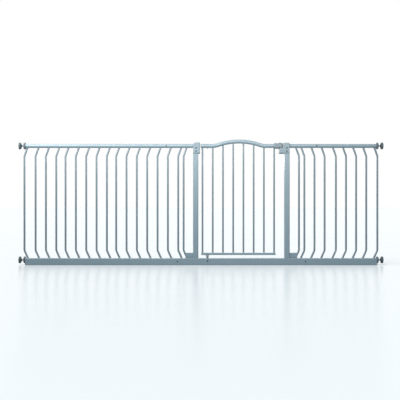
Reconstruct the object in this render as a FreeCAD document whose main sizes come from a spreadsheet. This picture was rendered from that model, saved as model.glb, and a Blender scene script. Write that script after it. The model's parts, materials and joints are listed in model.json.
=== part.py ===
"""Pressure-fit metal pet gate: a welded doorway frame, an arched door, two bar panels and four wall spindles.

Frame of the model: +X runs along the gate to the right, +Y to the back, +Z up.
The origin lies on the floor, midway between the two outermost pad faces.
"""
import FreeCAD, Part
import math
import os
import Sketcher
from FreeCAD import Placement, Rotation, Vector

doc = FreeCAD.newDocument("PetGate")

# ---------------------------------------------------------------------------------------------------------
# Driving sizes, in millimetres (counts and turns are plain numbers)
# ---------------------------------------------------------------------------------------------------------
SIZES = [
    ("half_span", 1127.0, "origin to the outer face of a wall pad"),
    ("gate_centre", 250.0, "middle of the doorway, from the origin"),
    ("post_offset", 282.5, "doorway middle to post centre"),
    ("post_width", 33.0, "post tube, along the gate"),
    ("post_depth", 30.0, "post tube, front to back"),
    ("post_round", 6.0, "outer corner radius of the post tube"),
    ("post_top", 753.0, "upper end of the posts"),
    ("post_plate", 2.0, "plate that closes the upper end of a post"),
    ("wall", 1.5, "wall of the large steel tubes"),
    ("sill_height", 42.0, "bottom rail tube"),
    ("sill_depth", 30.0, "bottom rail tube, front to back"),
    ("sill_round", 3.0, "outer corner radius of the bottom rail tube"),
    ("sill_half", 346.0, "doorway middle to the end of the frame's bottom rail"),
    ("rail_bore", 25.0, "outer diameter of the top rail tubes"),
    ("rail_centre", 737.0, "height of the top rails' axis"),
    ("stub_half", 356.0, "doorway middle to the seam in the top rail"),
    ("rail_end", 1086.0, "origin to the outer end of the panels' rails"),
    ("wing_height", 33.6, "short tube on the bottom rail, beside each post"),
    ("wing_depth", 18.0, "short tube, front to back"),
    ("bar_dia", 12.0, "bars of the panels and of the fixed frame"),
    ("door_bar_dia", 11.0, "bars of the door"),
    ("frame_bar_offset", 357.5, "doorway middle to the frame's own bowed bar"),
    ("panel_bar_offset", 391.0, "doorway middle to a panel's first bar"),
    ("left_bar_pitch", 64.1, "bar spacing inside a run of the left panel"),
    ("right_bar_pitch", 62.7, "bar spacing inside a run of the right panel"),
    ("head_inset", 18.0, "how far a bowed bar steps in at its upper end"),
    ("head_drop", 50.0, "height of the upper slanted part"),
    ("foot_inset", 22.0, "how far a bowed bar steps in at its foot"),
    ("foot_rise", 48.0, "height of the lower slanted part"),
    ("bar_bend", 30.0, "centre-line radius of the bends"),
    ("door_left", 252.0, "doorway middle to the door rail's hinge end"),
    ("door_right", 235.0, "doorway middle to the door rail's end inside the handle"),
    ("arch_middle", -14.5, "top of the arch, from the doorway middle"),
    ("arch_half", 167.5, "half the length of the arched part"),
    ("arch_rise", 27.6, "rise of the arch"),
    ("crown_radius", 400.0, "centre-line radius of the crown"),
    ("door_bar_first", -240.4, "doorway middle to the door's first upright"),
    ("door_bar_pitch", 63.4, "door upright spacing"),
    ("foot_rail_low", 61.5, "underside of the door's lower rail"),
    ("foot_rail_height", 14.0, "door's lower rail"),
    ("foot_rail_depth", 20.0, "door's lower rail, front to back"),
    ("foot_rail_round", 3.0, "outer corner radius of the door's lower rail"),
    ("foot_rail_left", 247.0, "doorway middle to the lower rail's hinge end"),
    ("foot_rail_right", 210.0, "doorway middle to the lower rail's latch end"),
    ("hinge_offset", 210.0, "doorway middle to the hinge axis"),
    ("hinge_pin_dia", 8.0, "hinge pins"),
    ("tongue_rise", 8.0, "top of the hinge arm's tongue above the rail's axis"),
    ("tongue_thick", 4.0, "hinge arm strap"),
    ("tongue_width", 14.0, "hinge arm strap, front to back"),
    ("door_lift", 9.0, "how far the door lifts on its pins"),
    ("pin_clearance", 0.05, "radial clearance of the hinge pins and the threads"),
    ("bracket_low", 689.0, "underside of the hinge bracket and of the latch catch"),
    ("bracket_wall", 4.0, "front and back walls of the bracket and the catch"),
    ("rod_dia", 8.0, "threaded spindle"),
    ("rod_length", 95.0, "spindle, from inside the pad to its free end"),
    ("upper_rod_height", 737.0, "axis of the upper spindles"),
    ("lower_rod_height", 31.0, "axis of the lower spindles"),
    ("pad_dia", 43.0, "wall pad"),
    ("pad_depth", 16.0, "wall pad, along the spindle"),
    ("pad_face_dia", 38.0, "flat that bears on the wall"),
    ("handle_height", 34.0, "handle, over its section"),
    ("handle_depth", 30.0, "handle, front to back"),
    ("handle_start", 201.0, "doorway middle to the handle's inner end"),
    ("handle_joint", 246.0, "doorway middle to the joint of handle and nose"),
    ("handle_end", 258.0, "doorway middle to the nose's end"),
    ("bevel_rise", 6.0, "bevel along the front lower edge of the two housings, upwards"),
    ("bevel_depth", 3.3, "the same bevel, front to back"),
    ("wheel_dia", 42.0, "wheel nut"),
    ("wheel_depth", 13.2, "wheel nut, along the spindle"),
    ("wheel_gap", 10.0, "pad to wheel nut as fitted"),
    ("screw_dia", 8.0, "set screws that lock the panels' joining tubes"),
    ("upper_screw_offset", 466.0, "doorway middle to the upper set screws"),
    ("lower_screw_offset", 396.0, "doorway middle to the lower set screws"),
]

sheet = doc.addObject("Spreadsheet::Sheet", "Sizes")
for row, (alias, value, note) in enumerate(SIZES, start=1):
    sheet.set(f"A{row}", alias)
    sheet.set(f"B{row}", str(value))
    sheet.set(f"C{row}", note)
    sheet.setAlias(f"B{row}", alias)
doc.recompute()

NODES = []
SIDES = {"left": -1, "right": 1}


def size(alias):
    """A driving size, as a number, for the shapes that are not bound by expressions."""
    return float(sheet.get(alias))


def keep(item):
    """Put a finished sub-part on the list that is checked and written."""
    NODES.append(item)
    return item


# ---------------------------------------------------------------------------------------------------------
# Sketch and feature helpers
# ---------------------------------------------------------------------------------------------------------
def new_body(label):
    body = doc.addObject("PartDesign::Body", label)
    body.Label = label
    return body


def sketch_on(body, name, role, offset="0"):
    """A sketch on one of the body's own origin planes, moved along the plane's normal by an expression."""
    sketch = body.newObject("Sketcher::SketchObject", name)
    plane = next(item for item in body.Origin.OriginFeatures if item.Role == role)
    sketch.AttachmentSupport = [(plane, "")]
    sketch.MapMode = "FlatFace"
    if offset != "0":
        sketch.setExpression("AttachmentOffset.Base.z", offset)
    return sketch


def constrain(sketch, alias, expression, *definition):
    """Add a named dimension and bind it to the sheet."""
    index = sketch.addConstraint(Sketcher.Constraint(*definition))
    sketch.renameConstraint(index, alias)
    sketch.setExpression(f"Constraints.{alias}", expression)


def evaluate(expression):
    """The present value of an expression on the sheet."""
    return float(sheet.evalExpression(expression.replace("Sizes.", "")))


def add_rounded_rectangle(sketch, tag, width, height, radius):
    """Rectangle with round corners, centred on the sketch's origin: lines and arcs in turn, anticlockwise."""
    w, h, r = evaluate(width) / 2, evaluate(height) / 2, evaluate(radius)
    first = sketch.GeometryCount
    corners = [(w, -h, -1), (w, h, 0), (-w, h, 1), (-w, -h, 2)]
    starts = [(-w + r, -h), (w, -h + r), (w - r, h), (-w, h - r)]
    ends = [(w - r, -h), (w, h - r), (-w + r, h), (-w, -h + r)]
    for start, end, (cx, cy, quarter) in zip(starts, ends, corners):
        sketch.addGeometry(Part.LineSegment(Vector(*start), Vector(*end)), False)
        centre = Vector(cx - math.copysign(r, cx), cy - math.copysign(r, cy))
        circle = Part.Circle(centre, Vector(0, 0, 1), r)
        sketch.addGeometry(Part.ArcOfCircle(circle, quarter * math.pi / 2, (quarter + 1) * math.pi / 2), False)
    for step in range(8):
        sketch.addConstraint(Sketcher.Constraint("Tangent", first + step, 2, first + (step + 1) % 8, 1))
    sketch.addConstraint(Sketcher.Constraint("Horizontal", first))
    sketch.addConstraint(Sketcher.Constraint("Vertical", first + 2))
    for arc in (3, 5, 7):
        sketch.addConstraint(Sketcher.Constraint("Equal", first + 1, first + arc))
    sketch.addConstraint(Sketcher.Constraint("Symmetric", first, 1, first + 4, 1, -1, 1))
    constrain(sketch, tag + "Width", width, "DistanceX", first + 6, 1, first + 2, 1, 2 * w)
    constrain(sketch, tag + "Height", height, "DistanceY", first, 1, first + 4, 1, 2 * h)
    constrain(sketch, tag + "Radius", radius, "Radius", first + 1, r)


def add_circle(sketch, tag, diameter, across="0", up="0"):
    """Circle at (across, up) in the sketch, its place measured from the sketch's origin."""
    x, y = evaluate(across), evaluate(up)
    index = sketch.addGeometry(Part.Circle(Vector(x, y), Vector(0, 0, 1), evaluate(diameter) / 2), False)
    constrain(sketch, tag + "Diameter", diameter, "Diameter", index, evaluate(diameter))
    for letter, kind, expression, place in (("X", "DistanceX", across, x), ("Y", "DistanceY", up, y)):
        if expression == "0":
            axis = -2 if letter == "X" else -1
            sketch.addConstraint(Sketcher.Constraint("PointOnObject", index, 3, axis))
        else:
            constrain(sketch, tag + letter, expression, kind, -1, 1, index, 3, place)


def add_outline(sketch, points):
    """Closed outline of straight lines through the points, each point (across, up) as two expressions."""
    places = [Vector(evaluate(across), evaluate(up)) for across, up in points]
    first = sketch.GeometryCount
    count = len(points)
    for step in range(count):
        sketch.addGeometry(Part.LineSegment(places[step], places[(step + 1) % count]), False)
    for step in range(count):
        sketch.addConstraint(Sketcher.Constraint("Coincident", first + step, 2, first + (step + 1) % count, 1))
    for step, (across, up) in enumerate(points):
        for kind, letter, expression, place in (
            ("DistanceX", "X", across, places[step].x),
            ("DistanceY", "Y", up, places[step].y),
        ):
            if expression == "0":
                axis = -2 if letter == "X" else -1
                sketch.addConstraint(Sketcher.Constraint("PointOnObject", first + step, 1, axis))
            else:
                constrain(sketch, f"P{step}{letter}", expression, kind, -1, 1, first + step, 1, place)


def add_pad(body, sketch, name, length, both_ways=False, reverse=False):
    pad = body.newObject("PartDesign::Pad", name)
    pad.Profile = sketch
    pad.setExpression("Length", length)
    if both_ways:
        pad.SideType = "Symmetric"
    pad.Reversed = reverse
    sketch.Visibility = False
    return pad


def add_pocket(body, sketch, name, length, reverse=False, both_ways=False):
    """Cut the sketch out of the body, and make sure that the cut took material away."""
    doc.recompute()
    before = body.Shape.Volume
    pocket = body.newObject("PartDesign::Pocket", name)
    pocket.Profile = sketch
    pocket.setExpression("Length", length)
    if both_ways:
        pocket.SideType = "Symmetric"
    pocket.Reversed = reverse
    doc.recompute()
    if not body.Shape.Volume < before - 0.1:
        raise RuntimeError(f"{body.Label}: {name} cut nothing")
    return pocket


def drill_front(body, name, diameter, across, up, depth="20", start="0"):
    """Round hole towards the front, from a plane that lies start in front of the middle plane."""
    sketch = sketch_on(body, name + "Sketch", "XZ_Plane", start)
    add_circle(sketch, "Hole", diameter, across, up)
    return add_pocket(body, sketch, name, depth, reverse=True)


def add_revolution(body, sketch, name, axis="V_Axis"):
    turn = body.newObject("PartDesign::Revolution", name)
    turn.Profile = sketch
    turn.ReferenceAxis = (sketch, [axis])
    turn.Angle = 360
    return turn


def round_edges(body, name, radius, wanted):
    """Fillet the edges of the body's present shape that the test picks out."""
    doc.recompute()
    tip = body.Tip
    edges = [f"Edge{i}" for i, edge in enumerate(tip.Shape.Edges, start=1) if wanted(edge)]
    if not edges:
        raise RuntimeError(f"{body.Label}: {name} found no edges")
    fillet = body.newObject("PartDesign::Fillet", name)
    fillet.Base = (tip, edges)
    fillet.setExpression("Radius", radius)
    return fillet


def place(item, across="0", depth="0", up="0"):
    for axis, expression in (("x", across), ("y", depth), ("z", up)):
        if expression != "0":
            item.setExpression(f".Placement.Base.{axis}", expression)
    return item


def gate_x(offset):
    """Expression for a place along X, measured from the doorway's middle."""
    return f"Sizes.gate_centre + ({offset})"


def is_parallel(edge, axis):
    """True for a straight edge along the axis given as a vector."""
    if not isinstance(edge.Curve, Part.Line):
        return False
    return abs(abs(edge.Curve.Direction.dot(axis)) - 1) < 1e-6


X_AXIS, Y_AXIS, Z_AXIS = Vector(1, 0, 0), Vector(0, 1, 0), Vector(0, 0, 1)


# ---------------------------------------------------------------------------------------------------------
# Steel tubes
# ---------------------------------------------------------------------------------------------------------
def box_tube(label, role, across, up, radius, length):
    """Hollow tube with a rounded rectangular section, centred on its own origin, along the plane's normal."""
    body = new_body(label)
    sketch = sketch_on(body, label + "_section", role)
    add_rounded_rectangle(sketch, "Outer", across, up, radius)
    inner_across, inner_up = f"{across} - 2 * Sizes.wall", f"{up} - 2 * Sizes.wall"
    add_rounded_rectangle(sketch, "Inner", inner_across, inner_up, f"{radius} - Sizes.wall")
    add_pad(body, sketch, label + "_tube", length, both_ways=True)
    return body


def round_tube(label, diameter, wall, length):
    """Hollow round tube along X, centred on its own origin."""
    body = new_body(label)
    sketch = sketch_on(body, label + "_section", "YZ_Plane")
    add_circle(sketch, "Outer", diameter)
    add_circle(sketch, "Inner", f"{diameter} - 2 * {wall}")
    add_pad(body, sketch, label + "_tube", length, both_ways=True)
    return body


def sill_tube(label, length):
    return box_tube(label, "YZ_Plane", "Sizes.sill_depth", "Sizes.sill_height", "Sizes.sill_round", length)


def make_threshold_rail():
    """Bottom rail of the doorway frame, with the hole for the pivot socket and that of its screw."""
    body = sill_tube("threshold_rail", "2 * Sizes.sill_half")
    socket = sketch_on(body, "threshold_socket_hole", "XY_Plane")
    add_circle(socket, "Hole", "16.2", "-Sizes.hinge_offset")
    add_pocket(body, socket, "SocketHole", "30", reverse=True)
    drill_front(body, "SocketScrewHole", "4.2", "-Sizes.hinge_offset", "5")
    keep(place(body, "Sizes.gate_centre", "0", "Sizes.sill_height / 2"))


def make_post(side):
    """Upright of the doorway frame, welded on the bottom rail."""
    label = f"{side}_post"
    length = "Sizes.post_top - Sizes.sill_height"
    section = ("Sizes.post_width", "Sizes.post_depth", "Sizes.post_round")
    body = box_tube(label, "XY_Plane", *section, length)
    middle = "(Sizes.post_top + Sizes.sill_height) / 2"
    plate = sketch_on(body, "end_plate", "XY_Plane", f"({length}) / 2 - Sizes.post_plate")
    add_rounded_rectangle(
        plate, "Plate", "Sizes.post_width - 2 * Sizes.wall + 0.2",
        "Sizes.post_depth - 2 * Sizes.wall + 0.2", "Sizes.post_round - Sizes.wall + 0.1",
    )
    add_pad(body, plate, "EndPlate", "Sizes.post_plate")
    for level in (724, 704):
        drill_front(body, f"ScrewHole{level}", "4.2", f"{SIDES[side] * -2}", f"{level} - {middle}")
    if side == "right":
        window = sketch_on(body, "bolt_window", "YZ_Plane")
        bolt_middle = "(Sizes.rail_centre + 3)"
        low, high = f"{bolt_middle} - 5.5 - {middle}", f"{bolt_middle} + 14.5 - {middle}"
        add_outline(window, [("-7", low), ("7", low), ("7", high), ("-7", high)])
        add_pocket(body, window, "BoltWindow", "30")
    keep(place(body, gate_x(f"{SIDES[side]} * Sizes.post_offset"), "0", middle))


def make_wing_tube(side):
    """Short closed tube on the bottom rail, between the post and the frame's own bowed bar."""
    label = f"{side}_wing_tube"
    inner = "Sizes.post_offset + Sizes.post_width / 2"
    length = f"Sizes.sill_half - ({inner})"
    section = ("Sizes.wing_depth", "Sizes.wing_height", "Sizes.sill_round")
    body = new_body(label)
    sketch = sketch_on(body, label + "_section", "YZ_Plane")
    add_rounded_rectangle(sketch, "Outer", *section)
    add_pad(body, sketch, label + "_block", length, both_ways=True)
    hollow = sketch_on(body, label + "_hollow", "YZ_Plane", f"{-SIDES[side]} * ({length}) / 2")
    add_rounded_rectangle(
        hollow, "Inner", "Sizes.wing_depth - 2 * Sizes.wall",
        "Sizes.wing_height - 2 * Sizes.wall", "Sizes.sill_round - Sizes.wall",
    )
    add_pocket(body, hollow, label + "_bore", f"{length} - Sizes.wall", reverse=(side == "right"))
    centre = gate_x(f"{SIDES[side]} * (Sizes.sill_half + {inner}) / 2")
    keep(place(body, centre, "0", "Sizes.sill_height + Sizes.wing_height / 2"))


def make_frame_stub(side):
    """Short top rail that is welded to the post and takes the panel's joining tube."""
    inner = "(Sizes.post_offset + Sizes.post_width / 2)"
    body = round_tube(f"{side}_frame_stub", "Sizes.rail_bore", "Sizes.wall", f"Sizes.stub_half - {inner}")
    centre = gate_x(f"{SIDES[side]} * (Sizes.stub_half + {inner}) / 2")
    keep(place(body, centre, "0", "Sizes.rail_centre"))


def make_panel_rails(side):
    """Top and bottom rails of one bar panel, each with the hole of its set screw."""
    sign = SIDES[side]
    outer = f"{sign} * Sizes.rail_end"
    top_inner = f"(Sizes.gate_centre + {sign} * Sizes.stub_half)"
    top_middle = f"({outer} + {top_inner}) / 2"
    top = round_tube(
        f"{side}_panel_top_rail", "Sizes.rail_bore", "Sizes.wall", f"{sign} * ({outer} - {top_inner})"
    )
    screw_x = f"(Sizes.gate_centre + {sign} * Sizes.upper_screw_offset)"
    drill_front(top, "SetScrewHole", "Sizes.screw_dia + 0.2", f"{screw_x} - ({top_middle})", "0")
    keep(place(top, top_middle, "0", "Sizes.rail_centre"))

    low_inner = f"(Sizes.gate_centre + {sign} * Sizes.sill_half)"
    low_middle = f"({outer} + {low_inner}) / 2"
    low = sill_tube(f"{side}_panel_bottom_rail", f"{sign} * ({outer} - {low_inner})")
    screw_x = f"(Sizes.gate_centre + {sign} * Sizes.lower_screw_offset)"
    drill_front(low, "SetScrewHole", "Sizes.screw_dia + 0.2", f"{screw_x} - ({low_middle})", "0")
    keep(place(low, low_middle, "0", "Sizes.sill_height / 2"))


def make_joining_tubes(side):
    """Inner tubes that carry a panel on the frame: one in the top rail and one in the bottom rail."""
    sign = SIDES[side]
    top = round_tube(f"{side}_top_joining_tube", "Sizes.rail_bore - 3.2", "Sizes.wall", "176")
    drill_front(top, "SetScrewHole", "Sizes.screw_dia + 0.2", f"{sign} * 70", "0")
    top_centre = gate_x(f"{sign} * (Sizes.upper_screw_offset - 70)")
    keep(place(top, top_centre, "0", "Sizes.rail_centre"))

    inner_depth, inner_height = "Sizes.sill_depth - 3.2", "Sizes.sill_height - 3.2"
    low = box_tube(f"{side}_bottom_joining_tube", "YZ_Plane", inner_depth, inner_height, "2", "150")
    drill_front(low, "SetScrewHole", "Sizes.screw_dia + 0.2", f"{sign} * 50", "0")
    low_centre = gate_x(f"{sign} * (Sizes.lower_screw_offset - 50)")
    keep(place(low, low_centre, "0", "Sizes.sill_height / 2"))


# ---------------------------------------------------------------------------------------------------------
# Upright bars
# ---------------------------------------------------------------------------------------------------------
def bent_wire(points, radius):
    """Straight runs through the points, with a tangent arc at each inner point."""
    edges = []
    start = points[0]
    for before, corner, after in zip(points, points[1:], points[2:]):
        into = (corner - before).normalize()
        out = (after - corner).normalize()
        half_turn = into.getAngle(out) / 2
        reach = radius * math.tan(half_turn)
        enter, leave = corner - into * reach, corner + out * reach
        inward = (out - into).normalize()
        middle = corner + inward * (radius / math.cos(half_turn) - radius)
        edges.append(Part.LineSegment(start, enter).toShape())
        edges.append(Part.Arc(enter, middle, leave).toShape())
        start = leave
    edges.append(Part.LineSegment(start, points[-1]).toShape())
    return Part.Wire(edges)


def round_sweep(path, diameter):
    """Solid bar of round section along a wire that starts in the XZ plane."""
    edge = path.OrderedEdges[0]
    begin, heading = edge.valueAt(edge.FirstParameter), edge.tangentAt(edge.FirstParameter)
    section = Part.Wire(Part.makeCircle(diameter / 2, begin, heading))
    return path.makePipeShell([section], True, True)


def rail_rod():
    """Envelope of the top rail, long enough to cope any bar's head on it."""
    start = Vector(-200, 0, size("rail_centre"))
    return Part.makeCylinder(size("rail_bore") / 2, 400, start, X_AXIS)


def bowed_bar(sign, root):
    """Bar at x = 0 whose two ends step in towards the doorway, coped on the top rail and cut at the root."""
    head, foot = -sign * size("head_inset"), -sign * size("foot_inset")
    low, high = size("sill_height"), size("rail_centre") - size("rail_bore") / 2
    rise, drop = size("foot_rise"), size("head_drop")
    beyond = 0.25
    points = [
        Vector(foot * (1 + beyond), 0, low - rise * beyond),
        Vector(0, 0, low + rise),
        Vector(0, 0, high - drop),
        Vector(head * (1 + beyond), 0, high + drop * beyond),
    ]
    bar = round_sweep(bent_wire(points, size("bar_bend")), size("bar_dia"))
    return bar.cut(rail_rod()).cut(root)


def floor_block():
    """Everything below the top face of the bottom rail."""
    return Part.makeBox(400, 200, 100, Vector(-200, -100, size("sill_height") - 100))


def largest_solid(shape):
    return max(shape.Solids, key=lambda solid: solid.Volume)


def add_feature(label, shape, offset=Vector(0, 0, 0)):
    item = doc.addObject("Part::Feature", label)
    item.Label = label
    item.Shape = shape
    item.Placement = Placement(offset, Rotation())
    return keep(item)


def bar_places(runs, pitch):
    """Offsets of a panel's bars from its first bar: runs of even pitch, then a different step between runs."""
    places = [0.0]
    for count, step_after in runs:
        for _ in range(count - 1):
            places.append(places[-1] + pitch)
        if step_after:
            places.append(places[-1] + step_after)
    return places


# Each run is (bars in the run, step to the next run); the outermost bar stands a little apart on both panels.
PANEL_RUNS = {
    "left": [(7, 57.5), (5, 57.5), (3, 69.0), (1, 0)],
    "right": [(3, 70.0), (4, 69.0), (1, 0)],
}


def make_panel_bars(side):
    """The bars of one panel: one node with a separate solid for each bar."""
    sign = SIDES[side]
    one = largest_solid(bowed_bar(sign, floor_block()))
    bars = []
    for step in bar_places(PANEL_RUNS[side], size(f"{side}_bar_pitch")):
        bars.append(one.translated(Vector(sign * step, 0, 0)))
    start = size("gate_centre") + sign * size("panel_bar_offset")
    add_feature(f"{side}_panel_bars", Part.makeCompound(bars), Vector(start, 0, 0))


def make_frame_bar(side):
    """The frame's own bowed bar; its foot is cut against the end of the short wing tube."""
    sign = SIDES[side]
    inner = size("frame_bar_offset") - size("sill_half")
    wing_top = size("sill_height") + size("wing_height")
    wing = Part.makeBox(100, 100, wing_top, Vector(-sign * inner - (100 if sign > 0 else 0), -50, 0))
    bar = largest_solid(bowed_bar(sign, wing.fuse(floor_block())))
    start = size("gate_centre") + sign * size("frame_bar_offset")
    add_feature(f"{side}_frame_bar", bar, Vector(start, 0, 0))


# ---------------------------------------------------------------------------------------------------------
# Door
# ---------------------------------------------------------------------------------------------------------
def arch_path():
    """Centre line of the door's top rail: flat, shoulder arc, crown arc, shoulder arc, flat."""
    half, rise, crown = size("arch_half"), size("arch_rise"), size("crown_radius")
    radii = (half ** 2 + rise ** 2) / (2 * rise)
    shoulder = radii - crown
    middle = size("arch_middle")
    turn = math.asin(half / radii)

    def on_arc(centre, radius, angle, upwards):
        return Vector(centre.x + radius * math.sin(angle), 0, centre.z + upwards * radius * math.cos(angle))

    low_left = Vector(middle - half, 0, shoulder)
    low_right = Vector(middle + half, 0, shoulder)
    top = Vector(middle, 0, rise - crown)
    left_flat = Vector(middle - half, 0, 0)
    left_join = on_arc(low_left, shoulder, turn, -1)
    right_join = on_arc(low_right, shoulder, -turn, -1)
    right_flat = Vector(middle + half, 0, 0)
    edges = [
        Part.LineSegment(Vector(-size("door_left"), 0, 0), left_flat).toShape(),
        Part.Arc(left_flat, on_arc(low_left, shoulder, turn / 2, -1), left_join).toShape(),
        Part.Arc(left_join, on_arc(top, crown, 0, 1), right_join).toShape(),
        Part.Arc(right_join, on_arc(low_right, shoulder, -turn / 2, -1), right_flat).toShape(),
        Part.LineSegment(right_flat, Vector(size("door_right"), 0, 0)).toShape(),
    ]
    return Part.Wire(edges)


def make_door_top_rail():
    """Arched tube, bored for the upper hinge pin and slotted at the back for the hinge arm's tongue."""
    outer = round_sweep(arch_path(), size("rail_bore"))
    inner = round_sweep(arch_path(), size("rail_bore") - 2 * size("wall"))
    reach = 14
    pin_hole = Part.makeCylinder(size("hinge_pin_dia") / 2, 2 * reach, Vector(-size("hinge_offset"), 0, -reach))
    low = size("tongue_rise") - size("tongue_thick") - size("door_lift") - 0.6
    slot_end = -size("hinge_offset") + size("tongue_width") / 2 + 1
    slot = Part.makeBox(
        slot_end + size("door_left") + 1, 20, size("tongue_rise") + 0.6 - low,
        Vector(-size("door_left") - 1, 2, low),
    )
    tube = outer.cut(inner).cut(pin_hole).cut(slot)
    add_feature("door_top_rail", tube, Vector(size("gate_centre"), 0, size("rail_centre")))


def make_door_bottom_rail():
    """Flat rectangular tube under the door's uprights, bored for the lower hinge pin."""
    length = "Sizes.foot_rail_left + Sizes.foot_rail_right"
    body = box_tube(
        "door_bottom_rail", "YZ_Plane", "Sizes.foot_rail_depth", "Sizes.foot_rail_height",
        "Sizes.foot_rail_round", length,
    )
    middle = "(Sizes.foot_rail_right - Sizes.foot_rail_left) / 2"
    hole = sketch_on(body, "lower_pin_hole", "XY_Plane")
    add_circle(hole, "Hole", "Sizes.hinge_pin_dia + 1.2", f"-Sizes.hinge_offset - ({middle})")
    add_pocket(body, hole, "PinHole", "30")
    keep(place(body, gate_x(middle), "0", "Sizes.foot_rail_low + Sizes.foot_rail_height / 2"))


def make_door_bars():
    """The door's straight uprights, coped on the arched rail: one node with a separate solid for each."""
    arch = round_sweep(arch_path(), size("rail_bore"))
    arch.translate(Vector(0, 0, size("rail_centre")))
    low = size("foot_rail_low") + size("foot_rail_height")
    high = size("rail_centre") + size("arch_rise")
    bars = []
    for step in range(8):
        x = size("door_bar_first") + step * size("door_bar_pitch")
        bar = Part.makeCylinder(size("door_bar_dia") / 2, high - low, Vector(x, 0, low))
        pieces = bar.cut(arch).Solids
        bars.append(min(pieces, key=lambda solid: solid.BoundBox.ZMin))
    add_feature("door_bars", Part.makeCompound(bars), Vector(size("gate_centre"), 0, 0))


def make_foot_bush():
    """Plastic bush inside the door's lower rail, round the pivot's upper pin."""
    body = new_body("door_foot_bush")
    block = sketch_on(body, "bush_block", "YZ_Plane")
    depth, height = "Sizes.foot_rail_depth - 3.2", "Sizes.foot_rail_height - 3.2"
    add_rounded_rectangle(block, "Outer", depth, height, "1.2")
    add_pad(body, block, "BushBlock", "30", both_ways=True)
    bore = sketch_on(body, "bush_bore", "XY_Plane")
    add_circle(bore, "Hole", "Sizes.hinge_pin_dia + 2 * Sizes.pin_clearance")
    add_pocket(body, bore, "PinBore", "40", both_ways=True)
    centre = gate_x("-Sizes.hinge_offset")
    keep(place(body, centre, "0", "Sizes.foot_rail_low + Sizes.foot_rail_height / 2"))


def make_foot_rail_caps():
    """Plastic caps that close the two ends of the door's lower rail."""
    caps = []
    wall, depth, height = size("wall"), size("foot_rail_depth"), size("foot_rail_height")
    bounds = ((-size("foot_rail_left"), -1), (size("foot_rail_right"), 1))
    for end, sign in bounds:
        plate = Part.makeBox(1.5, depth - 1, height - 1, Vector(0, -depth / 2 + 0.5, -height / 2 + 0.5))
        tongue_depth, tongue_height = depth - 2 * wall - 0.2, height - 2 * wall - 0.2
        corner = Vector(-10, -tongue_depth / 2, -tongue_height / 2)
        tongue = Part.makeBox(10, tongue_depth, tongue_height, corner)
        long_edges = [edge for edge in tongue.Edges if is_parallel(edge, X_AXIS)]
        plate_edges = [edge for edge in plate.Edges if is_parallel(edge, X_AXIS)]
        cap = tongue.makeFillet(1.6, long_edges).fuse(plate.makeFillet(2.5, plate_edges)).removeSplitter()
        if sign < 0:
            cap = cap.mirror(Vector(0, 0, 0), X_AXIS)
        cap.translate(Vector(end, 0, size("foot_rail_low") + height / 2))
        caps.append(cap)
    add_feature("door_bottom_rail_caps", Part.makeCompound(caps), Vector(size("gate_centre"), 0, 0))


# ---------------------------------------------------------------------------------------------------------
# Hinge
# ---------------------------------------------------------------------------------------------------------
def bevel_front_edge(body):
    """Steep bevel along the front lower edge of a housing, from end to end."""
    front = "-Sizes.post_depth / 2 - Sizes.bracket_wall"
    low, high = "Sizes.bracket_low", "Sizes.bracket_low + Sizes.bevel_rise"
    inner = f"{front} + Sizes.bevel_depth"
    sketch = sketch_on(body, "front_bevel", "YZ_Plane")
    corner = [(inner, f"{low} - 1"), (f"{front} - 1", f"{low} - 1")]
    add_outline(sketch, [(f"{front} - 1", high), (front, high), (inner, low)] + corner)
    add_pocket(body, sketch, "FrontBevel", "1000", both_ways=True)


def make_hinge_bracket():
    """Moulded housing that clips round the left post's head and covers the root of the hinge arm."""
    body = new_body("hinge_bracket")
    left, right = "-Sizes.post_offset - 15.5", "-256"
    sketch = sketch_on(body, "housing_outline", "XZ_Plane")
    low, high = "Sizes.bracket_low", "Sizes.post_top + 4.6"
    shelf = "Sizes.rail_centre - Sizes.rail_bore / 2 - 2"
    step = "-Sizes.post_offset - 6.5"
    points = [(left, low), (right, low), (right, high), (step, high), (step, shelf), (left, shelf)]
    add_outline(sketch, points)
    add_pad(body, sketch, "Housing", "Sizes.post_depth + 2 * Sizes.bracket_wall", both_ways=True)
    round_edges(
        body, "RightCorners", "5",
        lambda edge: is_parallel(edge, Z_AXIS) and edge.CenterOfMass.x > -257,
    )
    cavity = sketch_on(body, "post_cavity", "XZ_Plane")
    cavity_right = "-Sizes.post_offset + Sizes.post_width / 2 + 3.2"
    ends = ("Sizes.bracket_low - 5", "Sizes.post_top + 0.2")
    outline = [("-320", ends[0]), (cavity_right, ends[0]), (cavity_right, ends[1]), ("-320", ends[1])]
    add_outline(cavity, outline)
    add_pocket(body, cavity, "PostCavity", "Sizes.post_depth + 0.2", both_ways=True)
    slot = sketch_on(body, "arm_slot", "YZ_Plane", "-270")
    arm_high = "Sizes.rail_centre + Sizes.tongue_rise + 0.2"
    arm_low = "Sizes.rail_centre + Sizes.tongue_rise - Sizes.tongue_thick - 0.2"
    half = "Sizes.tongue_width / 2 + 0.2"
    add_outline(slot, [(f"-({half})", arm_low), (half, arm_low), (half, arm_high), (f"-({half})", arm_high)])
    add_pocket(body, slot, "ArmSlot", "20", reverse=True)
    bevel_front_edge(body)
    for level in (724, 704):
        drill_front(body, f"ScrewHole{level}", "4.2", "-Sizes.post_offset + 2", f"{level}", "40")
    keep(place(body, "Sizes.gate_centre"))


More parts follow.
